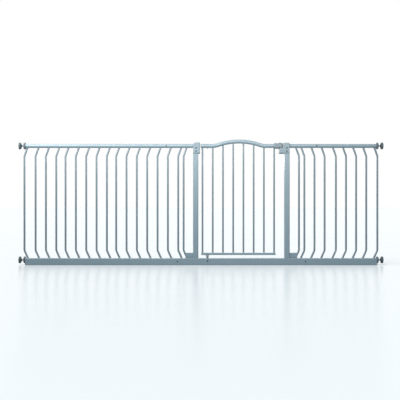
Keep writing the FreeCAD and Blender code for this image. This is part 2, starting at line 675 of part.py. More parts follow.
def make_hinge_arm():
    """Bent steel strap welded to the post's side; its tongue reaches into the door's rail, to the hinge axis."""
    body = new_body("hinge_arm")
    back = "-Sizes.post_offset + Sizes.post_width / 2"
    half = "Sizes.tongue_width / 2"
    tip = f"-Sizes.hinge_offset + {half}"
    high = "Sizes.rail_centre + Sizes.tongue_rise"
    under = f"{high} - Sizes.tongue_thick"
    low = "Sizes.bracket_low + 8"
    sketch = sketch_on(body, "strap_outline", "XZ_Plane")
    points = [(back, low), (f"{back} + 3", low), (f"{back} + 3", under), (tip, under), (tip, high), (back, high)]
    add_outline(sketch, points)
    add_pad(body, sketch, "Strap", "Sizes.tongue_width", both_ways=True)
    round_edges(
        body, "TongueTip", f"{half} - 0.05",
        lambda edge: is_parallel(edge, Z_AXIS) and edge.CenterOfMass.x > -205,
    )
    eye = sketch_on(body, "pin_eye", "XY_Plane")
    add_circle(eye, "Hole", "Sizes.hinge_pin_dia + 2 * Sizes.pin_clearance", "-Sizes.hinge_offset")
    add_pocket(body, eye, "PinEye", "800", reverse=True)
    keep(place(body, "Sizes.gate_centre"))


def make_upper_pin():
    """Headed pin pressed through the door's rail; it turns and slides in the eye of the hinge arm."""
    body = new_body("upper_hinge_pin")
    sketch = sketch_on(body, "pin_profile", "XZ_Plane")
    under, top = "-Sizes.rail_bore / 2", "Sizes.rail_bore / 2"
    radius = "Sizes.hinge_pin_dia / 2"
    points = [
        ("0", f"{under} - 3.5"), ("4.5", f"{under} - 3.5"), ("6.5", f"{under} - 1.5"), ("6.5", under),
        (radius, under), (radius, f"{top} - 1"), (f"{radius} - 1", top), ("0", top),
    ]
    add_outline(sketch, points)
    add_revolution(body, sketch, "Pin")
    keep(place(body, gate_x("-Sizes.hinge_offset"), "0", "Sizes.rail_centre"))


def make_lower_pivot():
    """Turned pivot: a pin in the threshold's socket, a cone that carries the door, and a pin in the door."""
    body = new_body("lower_pivot")
    sketch = sketch_on(body, "pivot_profile", "XZ_Plane")
    radius = "Sizes.hinge_pin_dia / 2"
    cone_top = "Sizes.foot_rail_low - 0.3"
    points = [
        ("0", "25"), (f"{radius} - 1", "25"), (radius, "26"), (radius, "Sizes.sill_height + 2.3"),
        (f"{radius} + 0.8", "Sizes.sill_height + 2.3"), (f"{radius} + 6", f"{cone_top} - 4"),
        (f"{radius} + 6", cone_top), (radius, cone_top),
        (radius, "Sizes.foot_rail_low + Sizes.foot_rail_height - 1.7"),
        ("0", "Sizes.foot_rail_low + Sizes.foot_rail_height - 1.7"),
    ]
    add_outline(sketch, points)
    add_revolution(body, sketch, "Pivot")
    keep(place(body, gate_x("-Sizes.hinge_offset")))


def make_pivot_socket():
    """Flanged plastic bush in the threshold, in which the pivot turns."""
    body = new_body("pivot_socket")
    sketch = sketch_on(body, "socket_profile", "XZ_Plane")
    bore = "Sizes.hinge_pin_dia / 2 + Sizes.pin_clearance"
    top = "Sizes.sill_height"
    points = [
        ("0", "14"), ("8", "14"), ("8", top), ("10", top), ("10", f"{top} + 1.2"), ("9.2", f"{top} + 2"),
        (bore, f"{top} + 2"), (bore, "24"), ("0", "24"),
    ]
    add_outline(sketch, points)
    add_revolution(body, sketch, "Socket")
    drill_front(body, "ScrewPocket", "4", "0", "Sizes.sill_height / 2 + 5", "20", "4.9")
    keep(place(body, gate_x("-Sizes.hinge_offset")))


# ---------------------------------------------------------------------------------------------------------
# Latch
# ---------------------------------------------------------------------------------------------------------
def make_latch_catch():
    """Moulded housing round the right post's head, with the cradle that the handle's end rests on."""
    body = new_body("latch_catch")
    sketch = sketch_on(body, "housing_outline", "XZ_Plane")
    low, high = "Sizes.bracket_low", "Sizes.post_top + 3"
    right = "Sizes.post_offset + 15.5"
    shelf = "Sizes.rail_centre - Sizes.rail_bore / 2 - 2"
    step = "Sizes.post_offset + 12.5"
    ledge = "Sizes.rail_centre - Sizes.handle_height / 2 - 0.2"
    points = [
        ("232", f"{low} + 4"), ("236", low), (right, low), (right, shelf), (step, shelf), (step, high),
        ("263", high), ("263", ledge), ("232", ledge),
    ]
    add_outline(sketch, points)
    add_pad(body, sketch, "Housing", "Sizes.post_depth + 2 * Sizes.bracket_wall", both_ways=True)
    round_edges(
        body, "CradleCorners", "5",
        lambda edge: is_parallel(edge, Z_AXIS) and edge.CenterOfMass.x < 233,
    )
    lip = sketch_on(body, "front_lip", "XZ_Plane", "Sizes.post_depth / 2 + 0.6")
    lip_low, lip_high = f"{ledge} - 4", f"{ledge} + 4.5"
    add_outline(lip, [("237", lip_low), ("263.5", lip_low), ("263.5", lip_high), ("239", lip_high)])
    add_pad(body, lip, "FrontLip", "Sizes.bracket_wall - 0.6")
    cavity = sketch_on(body, "post_cavity", "XZ_Plane")
    inner = "Sizes.post_offset - Sizes.post_width / 2 - 0.1"
    ends = ("Sizes.bracket_low - 5", "Sizes.post_top + 0.2")
    add_outline(cavity, [(inner, ends[0]), ("320", ends[0]), ("320", ends[1]), (inner, ends[1])])
    add_pocket(body, cavity, "PostCavity", "Sizes.post_depth + 0.2", both_ways=True)
    window = sketch_on(body, "bolt_window", "YZ_Plane", "250")
    bolt_middle = "(Sizes.rail_centre + 3)"
    low_edge, high_edge = f"{bolt_middle} - 5.5", f"{bolt_middle} + 14.5"
    add_outline(window, [("-7", low_edge), ("7", low_edge), ("7", high_edge), ("-7", high_edge)])
    add_pocket(body, window, "BoltWindow", "20", reverse=True)
    hollow = sketch_on(body, "cradle_hollow", "XZ_Plane")
    roof = f"{ledge} - 4"
    add_outline(hollow, [("237", "680"), ("260", "680"), ("260", roof), ("237", roof)])
    add_pocket(body, hollow, "CradleHollow", "Sizes.post_depth", both_ways=True)
    bevel_front_edge(body)
    for level in (724, 704):
        drill_front(body, f"ScrewHole{level}", "4.2", "Sizes.post_offset - 2", f"{level}", "40")
    keep(place(body, "Sizes.gate_centre"))


def cut_bolt_way(body):
    """Guide for the flat bolt along X, and the slot above it for the slider's stem."""
    guide = sketch_on(body, f"{body.Label}_bolt_guide", "YZ_Plane", "235")
    add_outline(guide, [("-6.3", "-2.3"), ("6.3", "-2.3"), ("6.3", "8.3"), ("-6.3", "8.3")])
    add_pocket(body, guide, "BoltGuide", "30", reverse=True)
    slot = sketch_on(body, f"{body.Label}_slider_slot", "XY_Plane")
    add_outline(slot, [("237.4", "-3.3"), ("256", "-3.3"), ("256", "3.3"), ("237.4", "3.3")])
    add_pocket(body, slot, "SliderSlot", "20", reverse=True)


def make_handle():
    """Moulded handle on the latch end of the door's rail, hollow for the bolt and slotted for the slider."""
    body = new_body("handle")
    start, joint = "Sizes.handle_start", "Sizes.handle_joint"
    sketch = sketch_on(body, "handle_section", "YZ_Plane", start)
    add_rounded_rectangle(sketch, "Outer", "Sizes.handle_depth", "Sizes.handle_height", "11")
    add_pad(body, sketch, "Grip", f"{joint} - {start}")
    round_edges(body, "EndRounding", "3", lambda edge: edge.BoundBox.XMax < size("handle_start") + 1)
    bore = sketch_on(body, "rail_bore", "YZ_Plane", start)
    add_circle(bore, "Hole", "Sizes.rail_bore + 0.2")
    add_pocket(body, bore, "RailBore", f"Sizes.door_right + 0.2 - {start}", reverse=True)
    notch = sketch_on(body, "bar_notch", "XY_Plane")
    last_bar = "Sizes.door_bar_first + 7 * Sizes.door_bar_pitch"
    add_circle(notch, "Notch", "Sizes.door_bar_dia + 0.6", last_bar)
    add_pocket(body, notch, "BarNotch", "30")
    cut_bolt_way(body)
    keep(place(body, "Sizes.gate_centre", "0", "Sizes.rail_centre"))


def make_handle_nose():
    """Dark end piece clipped into the handle; the bolt slides out through it."""
    body = new_body("handle_nose")
    sketch = sketch_on(body, "nose_section", "YZ_Plane", "Sizes.handle_joint")
    add_rounded_rectangle(sketch, "Outer", "Sizes.handle_depth - 2", "Sizes.handle_height - 2", "10")
    add_pad(body, sketch, "Nose", "Sizes.handle_end - Sizes.handle_joint")
    round_edges(body, "NoseRounding", "2.5", lambda edge: edge.BoundBox.XMin > size("handle_end") - 1)
    cut_bolt_way(body)
    keep(place(body, "Sizes.gate_centre", "0", "Sizes.rail_centre"))


def make_latch_bolt():
    """Flat sliding bolt inside the handle; its nose enters the catch's window."""
    body = new_body("latch_bolt")
    sketch = sketch_on(body, "bolt_outline", "XZ_Plane")
    points = [("236.5", "-2"), ("257.5", "-2"), ("257.5", "6"), ("255.5", "8"), ("236.5", "8")]
    add_outline(sketch, points)
    add_pad(body, sketch, "Bolt", "12", both_ways=True)
    stem = sketch_on(body, "stem_hole", "XY_Plane")
    add_outline(stem, [("238", "-3"), ("243.5", "-3"), ("243.5", "3"), ("238", "3")])
    add_pocket(body, stem, "StemHole", "30", reverse=True)
    keep(place(body, "Sizes.gate_centre", "0", "Sizes.rail_centre"))


def make_thumb_slider():
    """Ribbed thumb piece on top of the handle; its stem drives the bolt."""
    body = new_body("thumb_slider")
    stem = sketch_on(body, "stem_outline", "XZ_Plane")
    add_outline(stem, [("238", "0"), ("243.5", "0"), ("243.5", "17.8"), ("238", "17.8")])
    add_pad(body, stem, "Stem", "6", both_ways=True)
    top = sketch_on(body, "button_outline", "XZ_Plane")
    ribs = []
    for step in range(4):
        left = 237.6 + 2.4 * step
        ribs += [(f"{left + 1.6}", "20"), (f"{left + 2.0}", "21.2"), (f"{left + 2.4}", "20")]
    points = [("230", "17.2"), ("248", "17.2"), ("248", "19.4")] + ribs[::-1] + [("233", "20"), ("230", "18.4")]
    add_outline(top, points)
    add_pad(body, top, "Button", "14", both_ways=True)
    keep(place(body, "Sizes.gate_centre", "0", "Sizes.rail_centre"))


# ---------------------------------------------------------------------------------------------------------
# Wall spindles
# ---------------------------------------------------------------------------------------------------------
def end_plug(label, sign, is_top):
    """Plastic plug that closes a panel rail's end and guides the spindle."""
    body = new_body(label)
    core = sketch_on(body, "core_section", "YZ_Plane")
    lip = sketch_on(body, "lip_section", "YZ_Plane")
    if is_top:
        add_circle(core, "Outer", "Sizes.rail_bore - 2 * Sizes.wall - 0.1")
        add_circle(lip, "Outer", "Sizes.rail_bore - 0.4")
    else:
        inner_depth, inner_height = "Sizes.sill_depth - 3.2", "Sizes.sill_height - 3.2"
        add_rounded_rectangle(core, "Outer", inner_depth, inner_height, "1.4")
        add_rounded_rectangle(lip, "Outer", "Sizes.sill_depth - 0.4", "Sizes.sill_height - 0.4", "2.8")
    add_pad(body, core, "Core", "45", reverse=(sign > 0))
    add_pad(body, lip, "Lip", "1.5", reverse=(sign < 0))
    bore = sketch_on(body, "spindle_bore", "YZ_Plane")
    rise = "0" if is_top else "Sizes.lower_rod_height - Sizes.sill_height / 2"
    add_circle(bore, "Hole", "Sizes.rod_dia + 2 * Sizes.pin_clearance", "0", rise)
    add_pocket(body, bore, "SpindleBore", "120", both_ways=True)
    height = "Sizes.rail_centre" if is_top else "Sizes.sill_height / 2"
    keep(place(body, f"{sign} * Sizes.rail_end", "0", height))


def spindle_height(is_top):
    return "Sizes.upper_rod_height" if is_top else "Sizes.lower_rod_height"


def turned_piece(label, sign, is_top, points):
    """Piece turned about X: its profile runs inwards from the outer pad face, as (distance, radius)."""
    body = new_body(label)
    sketch = sketch_on(body, label + "_profile", "XY_Plane")
    add_outline(sketch, [(f"{-sign} * ({along})", radius) for along, radius in points])
    add_revolution(body, sketch, "Turned", "H_Axis")
    keep(place(body, f"{sign} * Sizes.half_span", "0", spindle_height(is_top)))
    return body


def make_spindle_set(corner, sign, is_top):
    """Wall pad, threaded spindle and wheel nut of one corner."""
    rod, clearance = "Sizes.rod_dia / 2", "Sizes.pin_clearance"
    pad = "Sizes.pad_depth"
    turned_piece(f"{corner}_wall_pad", sign, is_top, [
        ("0", "0"), ("0", "Sizes.pad_face_dia / 2"), ("1.5", "Sizes.pad_dia / 2"), ("9", "Sizes.pad_dia / 2"),
        ("12", "Sizes.pad_dia / 2 - 5"), (pad, "9"), (pad, rod), ("6.2", rod), ("6.2", "12"), ("3", "12"),
        ("3", "0"),
    ])
    turned_piece(f"{corner}_spindle", sign, is_top, [
        ("3", "0"), ("3", "12"), ("6.2", "12"), ("6.2", rod), ("Sizes.rod_length + 2", rod),
        ("Sizes.rod_length + 3", f"{rod} - 1"), ("Sizes.rod_length + 3", "0"),
    ])
    outer = f"{pad} + Sizes.wheel_gap"
    inner = f"{outer} + Sizes.wheel_depth"
    bore = f"{rod} + {clearance}"
    wheel = turned_piece(f"{corner}_wheel_nut", sign, is_top, [
        (outer, bore), (outer, "9"), (f"{outer} + 3", "9"), (f"{outer} + 3.5", "Sizes.wheel_dia / 2 - 2"),
        (f"{outer} + 5", "Sizes.wheel_dia / 2"), (f"{inner} - 1.5", "Sizes.wheel_dia / 2"),
        (inner, "Sizes.wheel_dia / 2 - 1.5"), (inner, bore),
    ])
    notch = sketch_on(wheel, f"{corner}_notch", "YZ_Plane", f"{-sign} * ({outer})")
    add_circle(notch, "Notch", "5", "0", "Sizes.wheel_dia / 2 + 1.2")
    cut = add_pocket(wheel, notch, "Notch", f"{inner}", reverse=(sign < 0))
    notches = wheel.newObject("PartDesign::PolarPattern", "Notches")
    notches.Originals = [cut]
    notches.Axis = (notch, ["N_Axis"])
    notches.Angle = 360
    notches.Occurrences = 16
    wheel.Tip = notches


# ---------------------------------------------------------------------------------------------------------
# Fasteners
# ---------------------------------------------------------------------------------------------------------
def pan_screw(head, shank, length):
    """Screw along +Y with its head's underside at y = 0, a domed head and a cross recess."""
    body = Part.makeCylinder(shank / 2, length, Vector(0, 0, 0), Y_AXIS)
    dome = Part.makeSphere(head * 0.62, Vector(0, head * 0.62 - head * 0.3, 0))
    cap = Part.makeCylinder(head / 2, head * 0.4, Vector(0, -head * 0.4, 0), Y_AXIS).common(dome)
    screw = body.fuse(cap).removeSplitter()
    for turn in (0, 90):
        blade = Part.makeBox(head * 0.55, head * 0.3, head * 0.13)
        blade.translate(Vector(-head * 0.275, -head * 0.45, -head * 0.065))
        blade.rotate(Vector(0, 0, 0), Y_AXIS, turn)
        screw = screw.cut(blade)
    return screw


def make_housing_screws():
    """Two screws each through the hinge bracket and the latch catch into the posts."""
    front = -(size("post_depth") / 2 + size("bracket_wall"))
    for side, label in (("left", "hinge_bracket_screws"), ("right", "latch_catch_screws")):
        screws = []
        x = SIDES[side] * (size("post_offset") - 2)
        for level in (724, 704):
            screws.append(pan_screw(8, 4, 12).translated(Vector(x, front, level)))
        add_feature(label, Part.makeCompound(screws), Vector(size("gate_centre"), 0, 0))


def make_socket_screw():
    """Screw through the threshold's front wall into the pivot socket."""
    front = -size("sill_depth") / 2
    x = size("gate_centre") - size("hinge_offset")
    add_feature("pivot_socket_screw", pan_screw(9, 4, 10), Vector(x, front, size("sill_height") / 2 + 5))


def make_set_screws():
    """Socket set screws that lock the joining tubes, two on each side of the doorway."""
    radius = size("screw_dia") / 2
    screw = Part.makeCylinder(radius, 9, Vector(0, 0, 0), Y_AXIS)
    corners = [Vector(2.2 * math.cos(k * math.pi / 3), -1, 2.2 * math.sin(k * math.pi / 3)) for k in range(7)]
    socket = Part.Face(Part.makePolygon(corners)).extrude(Vector(0, 5, 0))
    screw = screw.cut(socket)
    screws = []
    for sign in SIDES.values():
        top = Vector(sign * size("upper_screw_offset"), -size("rail_bore") / 2 + 0.4, size("rail_centre"))
        low = Vector(sign * size("lower_screw_offset"), -size("sill_depth") / 2 + 0.4, size("sill_height") / 2)
        screws += [screw.translated(top), screw.translated(low)]
    add_feature("set_screws", Part.makeCompound(screws), Vector(size("gate_centre"), 0, 0))


# ---------------------------------------------------------------------------------------------------------
# Assembly
# ---------------------------------------------------------------------------------------------------------
make_threshold_rail()
for side in SIDES:
    make_post(side)
    make_wing_tube(side)
    make_frame_stub(side)
    make_frame_bar(side)
    make_panel_rails(side)
    make_joining_tubes(side)
    make_panel_bars(side)
make_door_top_rail()
make_door_bottom_rail()
make_door_bars()
make_foot_bush()
make_foot_rail_caps()
make_hinge_bracket()
make_hinge_arm()
make_upper_pin()
make_lower_pivot()
make_pivot_socket()
make_latch_catch()
make_handle()
make_handle_nose()
make_latch_bolt()
make_thumb_slider()
for side, sign in SIDES.items():
    for level, is_top in (("upper", True), ("lower", False)):
        end_plug(f"{side}_{level}_rail_plug", sign, is_top)
        make_spindle_set(f"{side}_{level}", sign, is_top)
make_housing_screws()
make_socket_screw()
make_set_screws()
doc.recompute()

for item in doc.Objects:
    if "Invalid" in item.State or "Error" in item.State:
        raise RuntimeError(f"{item.Label} did not build: {item.State}")
for item in NODES:
    if item.Shape.isNull() or not item.Shape.isValid() or item.Shape.Volume <= 0:
        raise RuntimeError(f"{item.Label} has no sound shape")

os.makedirs("parts", exist_ok=True)
for item in NODES:
    item.Shape.exportStep(f"parts/{item.Label}.step")
print(f"{len(NODES)} sub-parts written")
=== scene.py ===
import json
import math

import bmesh
import bpy
from mathutils import Matrix, Vector, noise
from mathutils.bvhtree import BVHTree

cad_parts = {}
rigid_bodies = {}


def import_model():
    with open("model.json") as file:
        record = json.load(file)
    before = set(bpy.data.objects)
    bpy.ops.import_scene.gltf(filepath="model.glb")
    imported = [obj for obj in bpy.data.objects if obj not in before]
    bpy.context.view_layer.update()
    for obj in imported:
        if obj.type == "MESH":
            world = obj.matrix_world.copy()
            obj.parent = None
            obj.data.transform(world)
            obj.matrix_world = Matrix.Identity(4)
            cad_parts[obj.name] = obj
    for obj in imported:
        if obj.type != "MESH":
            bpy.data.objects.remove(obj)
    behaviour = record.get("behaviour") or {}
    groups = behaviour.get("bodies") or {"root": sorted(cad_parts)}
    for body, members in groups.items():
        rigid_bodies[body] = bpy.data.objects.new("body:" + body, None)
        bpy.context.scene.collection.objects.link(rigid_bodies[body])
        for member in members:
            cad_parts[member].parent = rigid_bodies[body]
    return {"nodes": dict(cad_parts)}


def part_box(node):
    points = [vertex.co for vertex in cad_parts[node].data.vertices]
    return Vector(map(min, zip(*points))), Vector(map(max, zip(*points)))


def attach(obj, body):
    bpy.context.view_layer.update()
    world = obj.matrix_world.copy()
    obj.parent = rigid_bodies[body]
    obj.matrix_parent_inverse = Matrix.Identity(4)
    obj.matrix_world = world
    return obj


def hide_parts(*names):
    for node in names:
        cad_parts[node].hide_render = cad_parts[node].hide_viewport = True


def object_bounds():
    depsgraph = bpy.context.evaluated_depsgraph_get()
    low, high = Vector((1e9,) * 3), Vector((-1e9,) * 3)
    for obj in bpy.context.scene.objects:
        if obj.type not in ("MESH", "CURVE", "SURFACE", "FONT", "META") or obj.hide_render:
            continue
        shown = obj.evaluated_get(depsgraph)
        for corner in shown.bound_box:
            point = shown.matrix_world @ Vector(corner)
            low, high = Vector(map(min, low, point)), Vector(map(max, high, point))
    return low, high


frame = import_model()
cad_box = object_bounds()
nodes = frame["nodes"]

# ---------------------------------------------------------------------------------------------------------
# Threshold rail, posts, wing tubes, side panels' rails, joining tubes, and the door's rails
# ---------------------------------------------------------------------------------------------------------
# Thin steel tube, cut, bent and welded up, then sprayed with a grey polyester powder and stoved. The powder
# melts to a hard satin skin that is never quite flat: it has a fine orange peel, and it pools a little
# thinner and glossier in some places than in others.


def from_srgb(red, green, blue):
    """A colour as it is named on a colour card, 0 to 255, turned into the linear values a shader takes."""
    linear = []
    for value in (red, green, blue):
        value /= 255
        linear.append(value / 12.92 if value <= 0.04045 else ((value + 0.055) / 1.055) ** 2.4)
    return (*linear, 1.0)


class Wire:
    """An output socket of a finish; arithmetic on it adds Math nodes to that finish."""

    def __init__(self, finish, socket):
        self.finish, self.socket = finish, socket

    def math(self, operation, *values):
        return self.finish.node("ShaderNodeMath", {"operation": operation}, dict(enumerate(values)))

    def __add__(self, other):
        return self.math("ADD", self, other)

    def __sub__(self, other):
        return self.math("SUBTRACT", self, other)

    def __mul__(self, other):
        return self.math("MULTIPLY", self, other)

    def __lt__(self, other):
        return self.math("LESS_THAN", self, other)

    __radd__, __rmul__ = __add__, __mul__


class Finish:
    """A material under construction, with its Principled shader's even values set once."""

    def __init__(self, name, **even_values):
        self.material = bpy.data.materials.new(name)
        self.material.use_nodes = True
        self.tree = self.material.node_tree
        self.shader = self.tree.nodes["Principled BSDF"]
        for words, value in even_values.items():
            self.shader.inputs[words.replace("_", " ")].default_value = value

    def node(self, kind, settings=None, values=None, output=0):
        """Adds one node: settings first, then its sockets' values or links; hands back one output."""
        made = self.tree.nodes.new(kind)
        for name, setting in (settings or {}).items():
            setattr(made, name, setting)
        for socket, value in (values or {}).items():
            if isinstance(value, Wire):
                self.tree.links.new(value.socket, made.inputs[socket])
            else:
                made.inputs[socket].default_value = value
        return Wire(self, made.outputs[output])

    def mix(self, share, first, second):
        """Blend of two colours."""
        return self.node("ShaderNodeMix", {"data_type": "RGBA"}, {0: share, 6: first, 7: second}, output=2)

    def feed(self, **varying):
        for words, wire in varying.items():
            self.tree.links.new(wire.socket, self.shader.inputs[words.replace("_", " ")])
        return self.material


def tint(colour, factor):
    return (*[min(1.0, channel * factor) for channel in colour[:3]], 1.0)


POWDER_GREY = from_srgb(112, 131, 141)


def powder_coat(name, colour, gloss=0.36, peel_depth=0.00005):
    """Satin polyester powder: orange peel, a faint cloudiness, and a few nibs of dust under the skin."""
    coat = Finish(name, Metallic=0.0, Specular_IOR_Level=0.5, Coat_Roughness=0.3)
    place = coat.node("ShaderNodeTexCoord", output="Object")
    cloud = coat.node("ShaderNodeTexNoise", values={"Vector": place, "Scale": 9.0, "Detail": 4.0})
    peel = coat.node("ShaderNodeTexNoise", values={"Vector": place, "Scale": 430.0, "Detail": 2.0})
    grain = coat.node("ShaderNodeTexNoise", values={"Vector": place, "Scale": 2100.0, "Detail": 1.0})
    nib = coat.node("ShaderNodeTexVoronoi", values={"Vector": place, "Scale": 210.0}) < 0.085
    base = coat.mix(cloud, tint(colour, 0.93), tint(colour, 1.07))
    fleck = coat.mix(grain, tint(colour, 0.9), tint(colour, 1.1))
    base = coat.mix(0.35, base, fleck)
    base = coat.mix(nib * 0.22, base, tint(colour, 0.55))
    height = peel * 0.75 + grain * 0.12 + nib * 0.25
    skin = coat.node("ShaderNodeBump", values={"Strength": 0.55, "Distance": peel_depth, "Height": height})
    return coat.feed(
        Base_Color=base,
        Roughness=cloud * 0.14 + peel * 0.08 + (gloss - 0.11),
        Coat_Weight=0.12 + cloud * 0.1,
        Normal=skin,
    )


tube_powder = powder_coat("powder_coat_grey", POWDER_GREY)


def finish_nodes(material, *names):
    """Gives CAD pieces their finish through their own material slots."""
    for name in names:
        slots = nodes[name].data.materials
        if len(slots):
            for index in range(len(slots)):
                slots[index] = material
        else:
            slots.append(material)


TUBES = ["threshold_rail", "door_top_rail", "door_bottom_rail"]
for side in ("left", "right"):
    TUBES += [f"{side}_{tube}" for tube in (
        "post", "wing_tube", "frame_stub", "panel_top_rail", "panel_bottom_rail",
        "top_joining_tube", "bottom_joining_tube",
    )]
finish_nodes(tube_powder, *TUBES)

# ---------------------------------------------------------------------------------------------------------
# Upright bars
# ---------------------------------------------------------------------------------------------------------
# Drawn steel bar, 12 mm thick and 11 mm in the door, cut and pressed so that both ends step in towards the
# doorway, with the ends coped to sit on the rails. They carry the same powder as the tubes, darkened to 0.72
# as painted shade for the thin round bars.

# Painted shade: the bars' colour is the tubes' grey darkened to 0.72 to stand in for the shade on the thin
# round bars.
bar_powder_painted_shade = powder_coat("powder_coat_bars_painted_shade", tint(POWDER_GREY, 0.72), gloss=0.4)
finish_nodes(
    bar_powder_painted_shade, "left_panel_bars", "right_panel_bars", "left_frame_bar", "right_frame_bar", "door_bars",
)

# ---------------------------------------------------------------------------------------------------------
# Weld beads
# ---------------------------------------------------------------------------------------------------------
# Each bar is fixed at both ends by a small ring of weld, laid by hand in short overlapping steps before the
# powder goes on. The beads are a millimetre or two across and never quite even.


def mesh_tree(name):
    mesh = nodes[name].data
    return BVHTree.FromPolygons([v.co for v in mesh.vertices], [p.vertices[:] for p in mesh.polygons])


def bar_ends(name, top):
    """Middle and direction of each bar's end, read off the bars' own mesh, bar by bar along X."""
    points = sorted((v.co for v in nodes[name].data.vertices), key=lambda point: point.x)
    bars, bar = [], [points[0]]
    for point in points[1:]:
        if point.x - bar[-1].x > 0.012:
            bars.append(bar)
            bar = []
        bar.append(point)
    bars.append(bar)
    ends = []
    for bar in bars:
        edge = max(p.z for p in bar) if top else min(p.z for p in bar)
        cut = [p for p in bar if abs(p.z - edge) < 0.0035]
        beyond = [p for p in bar if 0.012 < abs(p.z - edge) < 0.06]
        inner = min((abs(p.z - edge) for p in beyond), default=0.1)
        ring = [p for p in beyond if abs(p.z - edge) < inner + 0.006]
        middle = sum(cut, Vector()) / len(cut)
        if ring:
            heading = middle - sum(ring, Vector()) / len(ring)
        else:
            heading = Vector((0, 0, 1 if top else -1))
        middle.y = heading.y = 0.0
        ends.append((middle, heading.normalized()))
    return ends


def lay_bead(mesh, surface, middle, heading, radius, size, seed):
    """Ring of weld between a bar's side and the rail that the heading points at."""
    across = heading.cross(Vector((0, 1, 0))).normalized()
    along = Vector((0, 1, 0))
    steps, rings = 40, []
    for step in range(steps):
        angle = 2 * math.pi * step / steps
        out = across * math.cos(angle) + along * math.sin(angle)
        ripple = 1 + 0.16 * math.sin(angle * 9 + seed) + 0.3 * noise.noise(Vector((seed, angle * 1.3, 0.5)))
        reach = size * ripple
        origin = middle - heading * 0.012
        marks = []
        for distance in (radius * 0.98, radius + reach):
            hit = surface.ray_cast(origin + out * distance, heading, 0.03)[0]
            marks.append(hit)
        if None in marks:
            return
        foot = marks[0] - heading * reach
        rim = marks[1] + heading * 0.0004
        corner = marks[0] + out * reach * 0.42 - heading * reach * 0.42
        ring = [foot, foot.lerp(corner, 0.55) + out * reach * 0.07, corner,
                corner.lerp(rim, 0.45) - heading * reach * 0.07, rim, marks[0] + heading * 0.0006]
        rings.append([mesh.verts.new(point) for point in ring])
    for ring, following in zip(rings, rings[1:] + rings[:1]):
        for index in range(len(ring)):
            after = (index + 1) % len(ring)
            mesh.faces.new((ring[index], following[index], following[after], ring[after]))


def as_piece(name, mesh, material, body, smooth=True):
    """Turns mesh work into a piece that rides on a body and takes the finish it is given."""
    bmesh.ops.recalc_face_normals(mesh, faces=mesh.faces)
    data = bpy.data.meshes.new(name)
    mesh.to_mesh(data)
    mesh.free()
    data.polygons.foreach_set("use_smooth", [smooth] * len(data.polygons))
    data.materials.append(material)
    piece = bpy.data.objects.new(name, data)
    bpy.context.scene.collection.objects.link(piece)
    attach(piece, body)
    return piece


BEAD = 0.0019
for group, body, bars, top_rail, bottom_rail in (
    ("left_panel", "frame", "left_panel_bars", "left_panel_top_rail", "left_panel_bottom_rail"),
    ("right_panel", "frame", "right_panel_bars", "right_panel_top_rail", "right_panel_bottom_rail"),
    ("left_frame", "frame", "left_frame_bar", "left_frame_stub", "left_wing_tube"),
    ("right_frame", "frame", "right_frame_bar", "right_frame_stub", "right_wing_tube"),
    ("door", "door", "door_bars", "door_top_rail", "door_bottom_rail"),
):
    bar_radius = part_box(bars)[1].y
    beads = bmesh.new()
    for rail, top in ((top_rail, True), (bottom_rail, False)):
        tree = mesh_tree(rail)
        for number, (middle, heading) in enumerate(bar_ends(bars, top)):
            lay_bead(beads, tree, middle, heading, bar_radius, BEAD, number * 1.7 + top)
    if len(beads.faces):
        as_piece(f"{group}_weld_beads", beads, tube_powder, body)
    else:
        beads.free()

# ---------------------------------------------------------------------------------------------------------
# Hinge bracket, latch catch, handle and thumb slider
# ---------------------------------------------------------------------------------------------------------
# Injection-moulded glass-filled nylon, coloured in the mass to go with the powder. The tool is spark-eroded,
# so the skin has an even fine texture, slightly polished where hands and the door's rail rub it.


def moulded_plastic(name, colour, gloss, grain_scale, depth):
    plastic = Finish(name, Metallic=0.0, Specular_IOR_Level=0.46)
    place = plastic.node("ShaderNodeTexCoord", output="Object")
    cells = plastic.node(
        "ShaderNodeTexVoronoi", {"feature": "SMOOTH_F1"}, {"Vector": place, "Scale": grain_scale},
    )
    flow = plastic.node("ShaderNodeTexNoise", values={"Vector": place, "Scale": 38.0, "Detail": 5.0})
    rubbed = plastic.node("ShaderNodeTexNoise", values={"Vector": place, "Scale": 14.0, "Detail": 2.0})
    base = plastic.mix(flow, tint(colour, 0.93), tint(colour, 1.06))
    height = cells + flow * 0.3
    skin = plastic.node("ShaderNodeBump", values={"Strength": 0.5, "Distance": depth, "Height": height})
    return plastic.feed(Base_Color=base, Roughness=gloss + 0.16 * flow - 0.18 * rubbed, Normal=skin)


housing_plastic = moulded_plastic("moulded_nylon_grey", tint(POWDER_GREY, 0.93), 0.5, 1500.0, 0.0001)
handle_plastic = moulded_plastic("moulded_nylon_handle", tint(POWDER_GREY, 0.72), 0.46, 1500.0, 0.0001)
finish_nodes(housing_plastic, "hinge_bracket", "latch_catch")
finish_nodes(handle_plastic, "handle", "thumb_slider")

# ---------------------------------------------------------------------------------------------------------
# Hinge arm, pins, lower pivot, bolt and screws
# ---------------------------------------------------------------------------------------------------------
# Turned or pressed steel, barrel-plated with zinc and passivated. The plating keeps the fine lines of the
# tool and clouds a little where parts knocked together in the barrel.


def zinc_plate(name, colour, gloss):
    plate = Finish(name, Specular_IOR_Level=0.5, Metallic=1.0)
    place = plate.node("ShaderNodeTexCoord", output="Object")
    lines = plate.node("ShaderNodeMapping", values={"Vector": place, "Scale": (160.0, 160.0, 4200.0)})
    tooling = plate.node("ShaderNodeTexNoise", values={"Vector": lines, "Scale": 1.0, "Detail": 3.0})
    bloom = plate.node("ShaderNodeTexNoise", values={"Vector": place, "Scale": 120.0, "Detail": 6.0})
    base = plate.mix(bloom, tint(colour, 0.82), tint(colour, 1.12))
    skin = plate.node("ShaderNodeBump", values={"Strength": 0.3, "Distance": 0.00005, "Height": tooling})
    return plate.feed(Base_Color=base, Roughness=gloss + 0.22 * bloom, Normal=skin)


